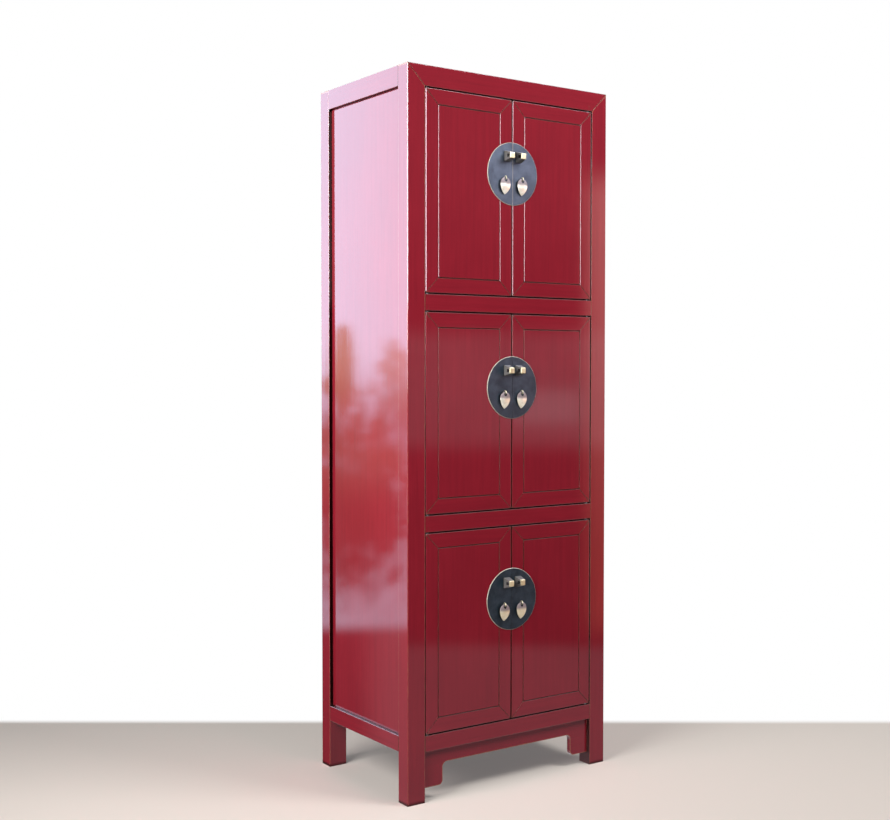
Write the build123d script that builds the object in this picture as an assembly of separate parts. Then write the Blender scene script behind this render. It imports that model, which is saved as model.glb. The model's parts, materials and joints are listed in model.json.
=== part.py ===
from build123d import *
import math
import os

# A tall three-tier cabinet in the wedding-cabinet style: four posts joined by rails, floating
# panels in grooves, and in each tier a pair of inset doors that turn on pins in the rails.
# +Z is up, -Y is the front, and the origin is under the middle of the whole cabinet.

# ------------------------------------------------------------ driving sizes, in millimetres
# Case
case_width = 600.0
case_depth = 400.0
leg_clearance = 118.0          # floor to the underside of the bottom rails
bottom_rail_height = 38.0
opening_height = 473.0         # height of each door opening
mid_rail_height = 38.5
top_rail_height = 48.0
post_width = 48.0              # across the front
post_depth = 40.0              # front to back
rail_depth = 40.0              # front to back, of the front rails under the doors
side_rail_thickness = 34.0
back_rail_thickness = 30.0
tier_names = ("lower", "middle", "upper")

# Rounding and grooves that show
post_corner_round = 2.2
member_edge_round = 1.2
mitre_groove_depth = 0.8

# Panels, boards and their grooves
side_panel_thickness = 10.0
side_panel_recess = 9.0        # how far the panel lies behind the outer face of the posts
back_panel_thickness = 8.0
back_panel_recess = 9.0
top_panel_thickness = 14.0
top_tongue_thickness = 6.0
panel_tongue = 7.0             # how far a panel enters its groove
expansion_gap = 0.8            # between a tongue and the bottom of its groove
groove_fit = 0.1               # on each face of a tongue
top_shadow_gap = 1.0
board_thickness = 15.0
board_gap = 0.5
bearer_height = 22.0

# Mortise and tenon joints
tenon_thickness = 12.0
front_tenon_length = 22.0
front_tenon_height = 20.0
front_tenon_setback = 14.0     # from the face of the rail
side_tenon_length = 18.0
side_tenon_height = 16.0
side_tenon_setback = 8.0
tenon_shoulder = 6.0           # from the edge of a rail, or past the panel groove
post_tenon_rise = 24.0         # how far the top of a post enters the mitred top rail
bearer_tenon_length = 8.0
bearer_tenon_margin = 5.0
tenon_gap = 0.1
joint_margin = 1.0             # wood left between a tenon and the nearest panel groove
cutter_overrun = 1.0           # how far a cutter passes a face that it opens
place_tolerance = 0.01         # within which an edge counts as lying at a place

# Apron under the bottom rail
apron_thickness = 12.0
apron_recess = 10.0
apron_drop = 34.0              # below the rail, in the middle
apron_bracket_drop = 87.0      # below the rail, beside the posts
apron_bracket_width = 56.0
apron_corner_round = 11.0
apron_arch_round = 13.0
apron_tongue = 6.0
apron_tongue_thickness = 6.0

# Doors
side_gap = 1.5                 # between a door and its post
seam_gap = 3.0                 # between the two doors of a tier
end_gap = 3.0                  # above and below a door
door_thickness = 20.0
door_member_width = 35.0
door_edge_round = 1.5
door_end_round = 1.2
door_panel_thickness = 11.0
door_tongue_thickness = 5.0
door_panel_gap = 1.0
door_groove_chamfer = 0.8
door_tenon_thickness = 6.0
door_tenon_inset = 14.0        # from the outer edges of the door
door_stop_gap = 0.6            # between a closed door and the board behind it

# Door pivots
pin_radius = 4.0
pin_in_rail = 14.0
pin_in_door = 14.0
pin_drive_gap = 0.03           # radial, in the rail
pin_running_gap = 0.08         # radial, in the door
pin_thrust_gap = 0.05          # between the lower pin and the hole that rests on it
pin_end_gap = 0.8              # above the upper pin
pivot_inset = 8.0              # from the outer edge of the door
pivot_depth = 7.0              # behind the face of the door
swing_clearance = 0.3

# Round face plates, one half on each door
plate_radius = 75.0
plate_thickness = 1.6
plate_bevel = 1.1
plate_seam_gap = 0.8
plate_rise = 58.0              # above the middle of the opening

# Lock eyes, which take a lock pin across the seam
lock_eye_width = 14.0
lock_eye_projection = 22.0
lock_eye_base_height = 26.5
lock_eye_nose_height = 13.0
lock_eye_nose_round = 1.5
lock_eye_hole_radius = 2.2
lock_eye_hole_setback = 6.0    # from the nose
lock_eye_spread = 17.0         # from the seam
lock_eye_rise = 41.0           # above the middle of the plate

# Shanks that hold the fittings through the door, and their clenched ends
shank_width = 4.0
shank_height = 2.4
shank_gap = 0.1
clench_length = 11.0
clench_thickness = 1.2

# Pulls: a domed leaf that hangs in the ring of a split pin
ring_inner_radius = 2.8
ring_wire_radius = 1.1
ring_standoff = 5.4            # from the plate to the middle of the ring
pull_spread = 25.5             # from the seam
pull_drop = 11.0               # ring below the middle of the plate
leaf_thickness = 1.4
leaf_dome_radius = 55.0
leaf_above_ring = 1.0          # from the middle of the ring up to the top of the leaf
leaf_half_width = 14.5
leaf_length = 41.0
leaf_hole_radius = 3.0
leaf_hole_drop = 5.0           # from the middle of the ring
leaf_rest_gap = 0.4            # between the tip of the leaf and the plate

# ------------------------------------------------------------ places that follow from them
lock_projection = plate_thickness + lock_eye_projection
front_y = -(case_depth + lock_projection) / 2 + lock_projection
back_y = front_y + case_depth
half_width = case_width / 2
opening_half = half_width - post_width
tier_pitch = opening_height + mid_rail_height
first_floor_z = leg_clearance + bottom_rail_height
floor_heights = [first_floor_z + number * tier_pitch for number in range(len(tier_names))]
case_height = floor_heights[-1] + opening_height + top_rail_height
top_rail_z = case_height - top_rail_height
inner_front_y = front_y + post_depth
inner_back_y = back_y - post_depth
side_panel_outer = half_width - side_panel_recess
side_panel_inner = side_panel_outer - side_panel_thickness
back_panel_front_y = back_y - back_panel_recess - back_panel_thickness


# ------------------------------------------------------------ shapes that several pieces use
def block(x, y, z, extra=(0.0, 0.0, 0.0)):
    """A box between pairs of limits, grown by extra on both sides along each axis."""
    limits = [(min(pair) - more, max(pair) + more) for pair, more in zip((x, y, z), extra)]
    size = [high - low for low, high in limits]
    middle = [(high + low) / 2 for low, high in limits]
    return Pos(*middle) * Box(*size)


def front_prism(points, y):
    """An outline drawn on the front, as (x, z) points, extruded between two depths."""
    corners = [Vector(x, y[0], z) for x, z in points]
    outline = Face(Wire.make_polygon(corners, close=True))
    return Solid.extrude(outline, Vector(0, y[1] - y[0], 0))


def edges_along(piece, axis, chosen):
    """The edges of a piece along an axis whose middle passes a test."""
    return [edge for edge in piece.edges().filter_by(axis) if chosen(edge.center())]


def near(value, target):
    return abs(value - target) < place_tolerance


def within(value, limits):
    return limits[0] - place_tolerance < value < limits[1] + place_tolerance


def fused(pieces):
    """One solid from pieces that meet."""
    return pieces[0].fuse(*pieces[1:]).solids()[0]


def cut(piece, tools):
    """The piece without the tools that reach it."""
    box = piece.bounding_box()
    reaching = [tool for tool in tools if boxes_meet(box, tool.bounding_box())]
    return piece.cut(*reaching).solids()[0] if reaching else piece


def boxes_meet(one, other):
    return all(
        low < high
        for low, high in (
            (one.min.X, other.max.X), (other.min.X, one.max.X),
            (one.min.Y, other.max.Y), (other.min.Y, one.max.Y),
            (one.min.Z, other.max.Z), (other.min.Z, one.max.Z),
        )
    )


def groove_along(start, end, y, depth):
    """A V-shaped cutter along a line on the front, from (x, z) to (x, z)."""
    across = depth * math.sqrt(2)
    length = math.hypot(end[0] - start[0], end[1] - start[1])
    slope = math.degrees(math.atan2(end[1] - start[1], end[0] - start[0]))
    middle = ((start[0] + end[0]) / 2, y, (start[1] + end[1]) / 2)
    return Pos(*middle) * Rot(0, -slope, 0) * Rot(45, 0, 0) * Box(length, across, across)


def mirrored(piece):
    """The same piece on the other side of the cabinet."""
    return mirror(piece, about=Plane.YZ)


def raised(piece, height):
    return Pos(0, 0, height) * piece


def save(node, pieces):
    """Write one node, which holds one solid or a group of like ones."""
    solids = [solid for piece in pieces for solid in piece.solids()]
    export_step(solids[0] if len(solids) == 1 else Compound(solids), f"parts/{node}.step")


# ------------------------------------------------------------ case: tenons and panels
def front_tenon(side, y, z):
    """A tenon on the end of a rail that runs across the cabinet."""
    middle_z = (z[0] + z[1]) / 2
    x = (side * (opening_half - tenon_shoulder), side * (opening_half + front_tenon_length))
    return x, y, (middle_z - front_tenon_height / 2, middle_z + front_tenon_height / 2)


def front_tenon_depths():
    return front_y + front_tenon_setback, front_y + front_tenon_setback + tenon_thickness


def back_tenon_depths():
    middle = back_y - back_rail_thickness / 2
    return middle - tenon_thickness / 2, middle + tenon_thickness / 2


def side_tenon(side, end_y, z_low):
    """A tenon on the front or back end of a side rail."""
    outward = -1 if end_y < 0 else 1
    x = (side * (half_width - side_tenon_setback),
         side * (half_width - side_tenon_setback - tenon_thickness))
    y = (end_y - outward * tenon_shoulder, end_y + outward * side_tenon_length)
    return x, y, (z_low, z_low + side_tenon_height)


rail_levels = [(leg_clearance, first_floor_z)]
rail_levels += [(height - mid_rail_height, height) for height in floor_heights[1:]]
top_groove_clear_z = top_rail_z + panel_tongue + expansion_gap
side_rail_levels = {
    (leg_clearance, first_floor_z): leg_clearance + tenon_shoulder,
    (top_rail_z, case_height): top_groove_clear_z + joint_margin,
}
sides = (-1, 1)
front_tenons = [front_tenon(side, front_tenon_depths(), z) for z in rail_levels for side in sides]
back_tenons = [front_tenon(side, back_tenon_depths(), z) for z in rail_levels for side in sides]
side_tenons = [side_tenon(side, end_y, z_low)
               for z_low in side_rail_levels.values()
               for end_y in (inner_front_y, inner_back_y) for side in sides]


def post_tenon(side, y):
    """The tenon on top of a post, which enters the mitred top rail."""
    middle_x = side * (opening_half + tenon_thickness)
    x = (middle_x - tenon_thickness / 2, middle_x + tenon_thickness / 2)
    return x, y, (top_rail_z - tenon_shoulder, top_rail_z + post_tenon_rise)


def post_tenon_depths(end):
    """Front tenons stand at the setback of the front face, back tenons mirror them."""
    if end < 0:
        return front_tenon_depths()
    return back_y - front_tenon_setback - tenon_thickness, back_y - front_tenon_setback


def side_panel(side, extra=(0.0, 0.0, 0.0)):
    return block((side * side_panel_inner, side * side_panel_outer),
                 (inner_front_y - panel_tongue, inner_back_y + panel_tongue),
                 (first_floor_z - panel_tongue, top_rail_z + panel_tongue), extra)


def back_panel(floor, extra=(0.0, 0.0, 0.0)):
    return block((-opening_half - panel_tongue, opening_half + panel_tongue),
                 (back_panel_front_y, back_panel_front_y + back_panel_thickness),
                 (floor - panel_tongue, floor + opening_height + panel_tongue), extra)


def top_panel_tongue(extra=(0.0, 0.0, 0.0)):
    reach_x = half_width - side_rail_thickness + panel_tongue
    low = case_height - top_panel_thickness
    return block((-reach_x, reach_x), (inner_front_y - panel_tongue, inner_back_y + panel_tongue),
                 (low, low + top_tongue_thickness), extra)


def top_panel():
    reach_x = half_width - side_rail_thickness - top_shadow_gap
    field = block((-reach_x, reach_x),
                  (inner_front_y + top_shadow_gap, inner_back_y - top_shadow_gap),
                  (case_height - top_panel_thickness, case_height))
    return fused([field, top_panel_tongue()])


panel_grooves = [side_panel(side, (groove_fit, expansion_gap, expansion_gap)) for side in sides]
panel_grooves += [back_panel(floor, (expansion_gap, groove_fit, expansion_gap))
                  for floor in floor_heights]
panel_grooves += [top_panel_tongue((expansion_gap, expansion_gap, groove_fit))]


# ------------------------------------------------------------ case: rails and posts
def top_rail_outline():
    return [(-half_width, case_height), (half_width, case_height),
            (opening_half, top_rail_z), (-opening_half, top_rail_z)]


def post_place(side, end):
    x = (side * opening_half, side * half_width)
    y = (front_y, inner_front_y) if end < 0 else (inner_back_y, back_y)
    return x, y


def mitre_grooves(y):
    """The fine lines where the top rail and the posts are mitred together."""
    return [groove_along((side * half_width, case_height), (side * opening_half, top_rail_z),
                         y, mitre_groove_depth) for side in sides]


def pivot_hole(side, z, radius):
    x = side * (opening_half - side_gap - pivot_inset)
    return Pos(x, front_y + pivot_depth, (z[0] + z[1]) / 2) * Cylinder(radius, z[1] - z[0])


def rail_pivot_holes():
    radius = pin_radius + pin_drive_gap
    holes = []
    for floor in floor_heights:
        ceiling = floor + opening_height
        for side in sides:
            holes.append(pivot_hole(side, (floor - pin_in_rail, floor), radius))
            holes.append(pivot_hole(side, (ceiling, ceiling + pin_in_rail), radius))
    return holes


def apron_tongues(gap):
    """Tongues that hold the apron in the bottom rail and in the posts."""
    middle = front_y + apron_recess + apron_thickness / 2
    y = (middle - apron_tongue_thickness / 2, middle + apron_tongue_thickness / 2)
    z_low = leg_clearance - apron_bracket_drop + apron_tongue
    extra = (gap, gap, gap)
    reach = opening_half + apron_tongue
    upper = block((-opening_half, opening_half), y,
                  (leg_clearance - tenon_shoulder, leg_clearance + apron_tongue), extra)
    ends = [block((side * (opening_half - tenon_shoulder), side * reach), y,
                  (z_low, leg_clearance - tenon_gap), extra) for side in sides]
    return [upper] + ends


def apron():
    low = leg_clearance - apron_bracket_drop
    arch = leg_clearance - apron_drop
    inner = opening_half - apron_bracket_width
    outline = [(-opening_half, leg_clearance), (-opening_half, low), (-inner, low),
               (-inner, arch), (inner, arch), (inner, low),
               (opening_half, low), (opening_half, leg_clearance)]
    y = (front_y + apron_recess, front_y + apron_recess + apron_thickness)
    board = front_prism(outline, y)
    corner_edges = edges_along(board, Axis.Y, lambda at: near(abs(at.X), inner) and near(at.Z, low))
    board = board.fillet(apron_corner_round, corner_edges)
    arch_edges = edges_along(board, Axis.Y, lambda at: near(abs(at.X), inner) and near(at.Z, arch))
    board = board.fillet(apron_arch_round, arch_edges)
    return fused([board] + apron_tongues(0.0))


def front_rail(z):
    """A rail under a pair of doors, tenoned into both front posts."""
    rail = block((-opening_half, opening_half), (front_y, front_y + rail_depth), z)
    face_edges = edges_along(rail, Axis.X, lambda at: near(at.Y, front_y))
    rail = rail.fillet(member_edge_round, face_edges)
    rail = fused([rail] + [block(*front_tenon(side, front_tenon_depths(), z)) for side in sides])
    return cut(rail, panel_grooves + rail_pivot_holes() + apron_tongues(tenon_gap))


def back_rail(z):
    rail = block((-opening_half, opening_half), (back_y - back_rail_thickness, back_y), z)
    face_edges = edges_along(rail, Axis.X, lambda at: near(at.Y, back_y))
    rail = rail.fillet(member_edge_round, face_edges)
    tenons = [block(*front_tenon(side, back_tenon_depths(), z)) for side in sides]
    return cut(fused([rail] + tenons), panel_grooves)


def mitred_top_rail(end):
    """The front or back rail of the top, mitred over both posts."""
    y = post_place(-1, end)[1]
    outer_y = front_y if end < 0 else back_y
    rail = front_prism(top_rail_outline(), y)
    shown = edges_along(rail, Axis.X, lambda at: near(at.Y, outer_y))
    rail = rail.fillet(member_edge_round, shown)
    tools = [block(*post_tenon(side, post_tenon_depths(end)), (tenon_gap,) * 3) for side in sides]
    tools += [block(*tenon, (tenon_gap,) * 3) for tenon in side_tenons]
    return cut(rail, tools + panel_grooves + rail_pivot_holes() + mitre_grooves(outer_y))


def side_rail(side, z, tenon_z):
    """A rail between the front and the back post of one side."""
    outer_x = side * half_width
    rail = block((outer_x - side * side_rail_thickness, outer_x), (inner_front_y, inner_back_y), z)
    shown = edges_along(rail, Axis.Y, lambda at: near(at.X, outer_x))
    rail = rail.fillet(member_edge_round, shown)
    tenons = [block(*side_tenon(side, end_y, tenon_z)) for end_y in (inner_front_y, inner_back_y)]
    return cut(fused([rail] + tenons), panel_grooves)


def bearer_tenon(side, floor, end_y):
    outward = -1 if end_y < 0 else 1
    x = (side * (opening_half + bearer_tenon_margin), side * (side_panel_inner - bearer_tenon_margin))
    y = (end_y - outward * tenon_shoulder, end_y + outward * bearer_tenon_length)
    return x, y, (floor - bearer_height + bearer_tenon_margin, floor - bearer_tenon_margin)


def shelf_bearer(side, floor):
    """A bearer inside one side, which carries the end of a shelf board."""
    bar = block((side * opening_half, side * side_panel_inner), (inner_front_y, inner_back_y),
                (floor - bearer_height, floor))
    tenons = [block(*bearer_tenon(side, floor, end_y)) for end_y in (inner_front_y, inner_back_y)]
    return fused([bar] + tenons)


def post(side, end):
    """A corner post, from the floor to its mitre with the top rail."""
    x, y = post_place(side, end)
    outer_x = side * half_width
    outer_y = front_y if end < 0 else back_y
    blank = block(x, y, (0, case_height))
    corner = edges_along(blank, Axis.Z, lambda at: near(at.X, outer_x) and near(at.Y, outer_y))
    blank = blank.fillet(post_corner_round, corner)
    others = edges_along(blank, Axis.Z,
                         lambda at: near(at.X, side * opening_half) or near(at.Y, y[0] + y[1] - outer_y))
    blank = blank.fillet(member_edge_round, others)
    blank = cut(blank, [front_prism(top_rail_outline(), y)])
    blank = fused([blank, block(*post_tenon(side, post_tenon_depths(end)))])
    tenons = front_tenons + back_tenons + side_tenons
    tenons += [bearer_tenon(side, floor, end_y)
               for floor in floor_heights[1:] for end_y in (inner_front_y, inner_back_y)]
    mortises = [block(*tenon, (tenon_gap,) * 3) for tenon in tenons]
    tools = mortises + panel_grooves + apron_tongues(tenon_gap) + mitre_grooves(outer_y)
    return cut(blank, tools)


def shelf_board(floor):
    """A board that lies on the rails and bearers, notched round the four posts."""
    reach_x = side_panel_inner - board_gap
    board = block((-reach_x, reach_x),
                  (front_y + door_thickness + door_stop_gap, back_panel_front_y - board_gap),
                  (floor, floor + board_thickness))
    notches = [block(*post_place(side, end), (0, case_height), (board_gap, board_gap, 0))
               for side in sides for end in (-1, 1)]
    return cut(board, notches)


def pivot_pins():
    """A pin below and above each door, driven into the rails."""
    pins = []
    for floor in floor_heights:
        ceiling = floor + opening_height
        for side in sides:
            low = (floor - pin_in_rail, floor + end_gap + pin_in_door)
            high = (ceiling - end_gap - pin_in_door, ceiling + pin_in_rail)
            pins += [pivot_hole(side, low, pin_radius), pivot_hole(side, high, pin_radius)]
    return pins


# ------------------------------------------------------------ doors: the left one of the lower tier
hinge_x = -opening_half + side_gap
seam_x = -seam_gap / 2
door_low = first_floor_z + end_gap
door_high = first_floor_z + opening_height - end_gap
door_y = (front_y, front_y + door_thickness)
window_x = (hinge_x + door_member_width, seam_x - door_member_width)
window_z = (door_low + door_member_width, door_high - door_member_width)


def swing_round(inset, depth, reach):
    """The edge radius that keeps a corner, inset and depth from the pivot, within a reach."""
    excess = inset + depth - reach
    return excess - math.sqrt(excess ** 2 - (inset ** 2 + depth ** 2 - reach ** 2))


def door_blank():
    """The whole outline of the door, rounded where it turns past the post and the board."""
    blank = block((hinge_x, seam_x), door_y, (door_low, door_high))
    front_reach = pivot_inset + side_gap - swing_clearance
    rear_depth = door_thickness - pivot_depth
    rear_reach = rear_depth + door_stop_gap - swing_clearance
    rounds = (
        (hinge_x, door_y[0], swing_round(pivot_inset, pivot_depth, front_reach)),
        (hinge_x, door_y[1], swing_round(pivot_inset, rear_depth, rear_reach)),
        (seam_x, door_y[0], door_edge_round),
    )
    for x, y, radius in rounds:
        edges = edges_along(blank, Axis.Z, lambda at: near(at.X, x) and near(at.Y, y))
        blank = blank.fillet(radius, edges)
    ends = edges_along(blank, Axis.X, lambda at: near(at.Y, door_y[0]))
    return blank.fillet(door_end_round, ends)


def door_ring():
    """The door frame before it is parted at its mitres."""
    ring = cut(door_blank(), [block(window_x, door_y, window_z, (0, cutter_overrun, 0))])
    inside = [edge for edge in ring.edges()
              if near(edge.center().Y, door_y[0])
              and within(edge.center().X, window_x) and within(edge.center().Z, window_z)]
    ring = ring.chamfer(door_groove_chamfer, None, inside)
    corners = [((hinge_x, door_low), (window_x[0], window_z[0])),
               ((seam_x, door_low), (window_x[1], window_z[0])),
               ((hinge_x, door_high), (window_x[0], window_z[1])),
               ((seam_x, door_high), (window_x[1], window_z[1]))]
    lines = [groove_along(outer, inner, door_y[0], mitre_groove_depth) for outer, inner in corners]
    return cut(ring, lines)


def door_panel_field(extra=(0.0, 0.0, 0.0)):
    gap = door_panel_gap
    return block((window_x[0] + gap, window_x[1] - gap), (front_y, front_y + door_panel_thickness),
                 (window_z[0] + gap, window_z[1] - gap), extra)


def door_panel_tongue(extra=(0.0, 0.0, 0.0)):
    high_y = front_y + door_panel_thickness
    return block((window_x[0] - panel_tongue, window_x[1] + panel_tongue),
                 (high_y - door_tongue_thickness, high_y),
                 (window_z[0] - panel_tongue, window_z[1] + panel_tongue), extra)


def door_panel():
    field = door_panel_field()
    shown = [edge for edge in field.edges() if near(edge.center().Y, front_y)]
    field = field.chamfer(door_groove_chamfer, None, shown)
    return fused([field, door_panel_tongue()])


def door_tenons(rail, extra=(0.0, 0.0, 0.0)):
    """Tenons of one door rail, which cross its mitres into both stiles."""
    middle_y = front_y + door_thickness / 2
    y = (middle_y - door_tenon_thickness / 2, middle_y + door_tenon_thickness / 2)
    inner = door_member_width - panel_tongue - expansion_gap - joint_margin
    if rail == "rail_low":
        z = (door_low + door_tenon_inset, door_low + inner)
    else:
        z = (door_high - door_tenon_inset, door_high - inner)
    return [block((hinge_x + door_tenon_inset, window_x[0]), y, z, extra),
            block((seam_x - door_tenon_inset, window_x[1]), y, z, extra)]


def door_pivot_holes():
    radius = pin_radius + pin_running_gap
    low = (door_low - cutter_overrun, door_low + pin_in_door + pin_thrust_gap)
    high = (door_high - pin_in_door - pin_end_gap, door_high + cutter_overrun)
    return [pivot_hole(-1, low, radius), pivot_hole(-1, high, radius)]


def door_frame():
    """The hinge stile, the lock stile and the two rails of the door frame."""
    ring = door_ring()
    through_y = (door_y[0] - cutter_overrun, door_y[1] + cutter_overrun)
    outlines = {
        "hinge_stile": [(hinge_x, door_low), (window_x[0], window_z[0]),
                        (window_x[0], window_z[1]), (hinge_x, door_high)],
        "lock_stile": [(seam_x, door_low), (seam_x, door_high),
                       (window_x[1], window_z[1]), (window_x[1], window_z[0])],
        "rail_low": [(hinge_x, door_low), (seam_x, door_low),
                     (window_x[1], window_z[0]), (window_x[0], window_z[0])],
        "rail_high": [(hinge_x, door_high), (window_x[0], window_z[1]),
                      (window_x[1], window_z[1]), (seam_x, door_high)],
    }
    groove = door_panel_tongue((expansion_gap, groove_fit, expansion_gap))
    members = {}
    for name, outline in outlines.items():
        member = ring.intersect(front_prism(outline, through_y)).solids()[0]
        if name.startswith("rail"):
            member = fused([member] + door_tenons(name))
            tools = [groove] + door_pivot_holes()
        else:
            mortises = door_tenons("rail_low", (tenon_gap,) * 3) + door_tenons("rail_high", (tenon_gap,) * 3)
            tools = [groove] + door_pivot_holes() + mortises
        members[name] = cut(member, tools)
    return members


# ------------------------------------------------------------ fittings of the left lower door
plate_z = first_floor_z + opening_height / 2 + plate_rise
plate_front_y = front_y - plate_thickness
ring_center = Vector(-pull_spread, plate_front_y - ring_standoff, plate_z - pull_drop)


def shank_places():
    """The (x, z) where a fitting passes through the plate and the lock stile."""
    return [(-lock_eye_spread, plate_z + lock_eye_rise), (ring_center.X, ring_center.Z)]


def shank_holes():
    holes = []
    for x, z in shank_places():
        holes.append(block((x - shank_width / 2, x + shank_width / 2),
                           (plate_front_y - cutter_overrun, door_y[1] + cutter_overrun),
                           (z - shank_height / 2, z + shank_height / 2),
                           (shank_gap, 0, shank_gap)))
    return holes


def shank(x, z, start_y):
    """A shank through the door, split and clenched up and down on the back."""
    stem = block((x - shank_width / 2, x + shank_width / 2), (start_y, door_y[1]),
                 (z - shank_height / 2, z + shank_height / 2))
    clench = block((x - shank_width / 2, x + shank_width / 2),
                   (door_y[1], door_y[1] + clench_thickness),
                   (z - clench_length, z + clench_length))
    return [stem, clench]


def face_plate():
    """Half of the round plate, bevelled round its rim."""
    middle_y = front_y - plate_thickness / 2
    disc = Pos(0, middle_y, plate_z) * Rot(90, 0, 0) * Cylinder(plate_radius, plate_thickness)
    rim = [edge for edge in disc.edges() if near(edge.center().Y, plate_front_y)
           and edge.geom_type == GeomType.CIRCLE]
    disc = disc.chamfer(plate_bevel, None, rim)
    half = block((-plate_radius, -plate_seam_gap / 2), (plate_front_y, front_y),
                 (plate_z - plate_radius, plate_z + plate_radius))
    return cut(disc.intersect(half).solids()[0], shank_holes())


def lock_eye():
    """A tapered eye with a hole along X, which takes half of the lock pin."""
    x, z = shank_places()[0]
    nose_y = plate_front_y - lock_eye_projection
    base, nose = lock_eye_base_height / 2, lock_eye_nose_height / 2
    side = [Vector(x - lock_eye_width / 2, y, z + up) for y, up in
            ((plate_front_y, -base), (nose_y, -nose), (nose_y, nose), (plate_front_y, base))]
    outline = Face(Wire.make_polygon(side, close=True))
    body = Solid.extrude(outline, Vector(lock_eye_width, 0, 0))
    nose_edges = edges_along(body, Axis.X, lambda at: near(at.Y, nose_y))
    body = body.fillet(lock_eye_nose_round, nose_edges)
    hole = (Pos(x, nose_y + lock_eye_hole_setback, z) * Rot(0, 90, 0)
            * Cylinder(lock_eye_hole_radius, lock_eye_width + 2 * cutter_overrun))
    return fused([cut(body, [hole])] + shank(x, z, plate_front_y))


def pull_pin():
    """A split pin whose ring stands in front of the plate."""
    middle_radius = ring_inner_radius + ring_wire_radius
    ring = Pos(*ring_center) * Rot(0, 90, 0) * Torus(middle_radius, ring_wire_radius)
    x, z = shank_places()[1]
    return fused([ring] + shank(x, z, ring_center.Y + middle_radius))


def leaf_outline():
    """The leaf seen from the front, with its widest place level with the upper arc's middle."""
    top = ring_center.Z + leaf_above_ring
    widest = top - leaf_half_width
    tip = top - leaf_length
    lower = widest - tip
    side_radius = (lower ** 2 + leaf_half_width ** 2) / (2 * leaf_half_width)
    half_turn = math.asin(lower / side_radius) / 2
    bulge = side_radius * math.cos(half_turn) - side_radius + leaf_half_width
    fall = side_radius * math.sin(half_turn)
    x, y = ring_center.X, ring_center.Y
    points = {
        "left": Vector(x - leaf_half_width, y, widest), "right": Vector(x + leaf_half_width, y, widest),
        "top": Vector(x, y, top), "tip": Vector(x, y, tip),
        "lower_left": Vector(x - bulge, y, widest - fall),
        "lower_right": Vector(x + bulge, y, widest - fall),
    }
    arcs = [Edge.make_three_point_arc(points["left"], points["top"], points["right"]),
            Edge.make_three_point_arc(points["right"], points["lower_right"], points["tip"]),
            Edge.make_three_point_arc(points["tip"], points["lower_left"], points["left"])]
    return Face(Wire(arcs))


def pull():
    """The domed leaf, which leans back until its tip nearly meets the plate."""
    reach = leaf_length
    prism = Pos(0, -reach, 0) * Solid.extrude(leaf_outline(), Vector(0, 2 * reach, 0))
    middle_drop = leaf_length / 2 - leaf_above_ring
    inner_radius = leaf_dome_radius - leaf_thickness / 2
    dome_depth = math.sqrt(leaf_dome_radius ** 2 - middle_drop ** 2)
    dome_center = ring_center + Vector(0, dome_depth, -middle_drop)
    outer = Pos(*dome_center) * Sphere(leaf_dome_radius + leaf_thickness / 2)
    inner = Pos(*dome_center) * Sphere(inner_radius)
    leaf = prism.intersect(outer).solids()[0].cut(inner)
    leaf = max(leaf.solids(), key=lambda part: -part.center().Y)
    hole = (Pos(ring_center.X, ring_center.Y, ring_center.Z - leaf_hole_drop)
            * Rot(90, 0, 0) * Cylinder(leaf_hole_radius, 2 * reach))
    leaf = cut(leaf, [hole])
    tip_behind_ring = dome_depth - math.sqrt(inner_radius ** 2 - (leaf_length / 2) ** 2)
    tip_room = ring_standoff - tip_behind_ring - leaf_rest_gap
    lean = math.degrees(math.asin(tip_room / (leaf_length - leaf_above_ring)))
    axis = Axis(tuple(ring_center), (1, 0, 0))
    return leaf.rotate(axis, lean)


# ------------------------------------------------------------ writing the nodes
os.makedirs("parts", exist_ok=True)

for side, side_name in ((-1, "left"), (1, "right")):
    save(f"post_front_{side_name}", [post(side, -1)])
    save(f"post_back_{side_name}", [post(side, 1)])
    save(f"side_panel_{side_name}", [side_panel(side)])

save("top_rail_front", [mitred_top_rail(-1)])
save("mid_rails_front", [front_rail(z) for z in rail_levels[1:]])
save("bottom_rail_front", [front_rail(rail_levels[0])])
save("back_rails", [back_rail(z) for z in rail_levels] + [mitred_top_rail(1)])
save("side_rails", [side_rail(side, z, tenon_z)
                    for z, tenon_z in side_rail_levels.items() for side in sides])
save("back_panels", [back_panel(floor) for floor in floor_heights])
save("top_panel", [top_panel()])
save("apron", [apron()])
save("shelf_boards", [shelf_board(floor) for floor in floor_heights])
save("shelf_bearers", [shelf_bearer(side, floor) for floor in floor_heights[1:] for side in sides])
save("pivot_pins", pivot_pins())

frame = door_frame()
door_pieces = {
    "hinge_stile": [frame["hinge_stile"]],
    "lock_stile": [cut(frame["lock_stile"], shank_holes())],
    "rails": [frame["rail_low"], frame["rail_high"]],
    "panel": [door_panel()],
    "face_plate": [face_plate()],
    "fittings": [lock_eye(), pull_pin()],
    "pull": [pull()],
}
for number, tier in enumerate(tier_names):
    for piece_name, pieces in door_pieces.items():
        placed = [raised(piece, number * tier_pitch) for piece in pieces]
        save(f"{tier}_left_{piece_name}", placed)
        save(f"{tier}_right_{piece_name}", [mirrored(piece) for piece in placed])
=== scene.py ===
import json
import math

import bpy
from mathutils import Matrix, Vector


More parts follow.
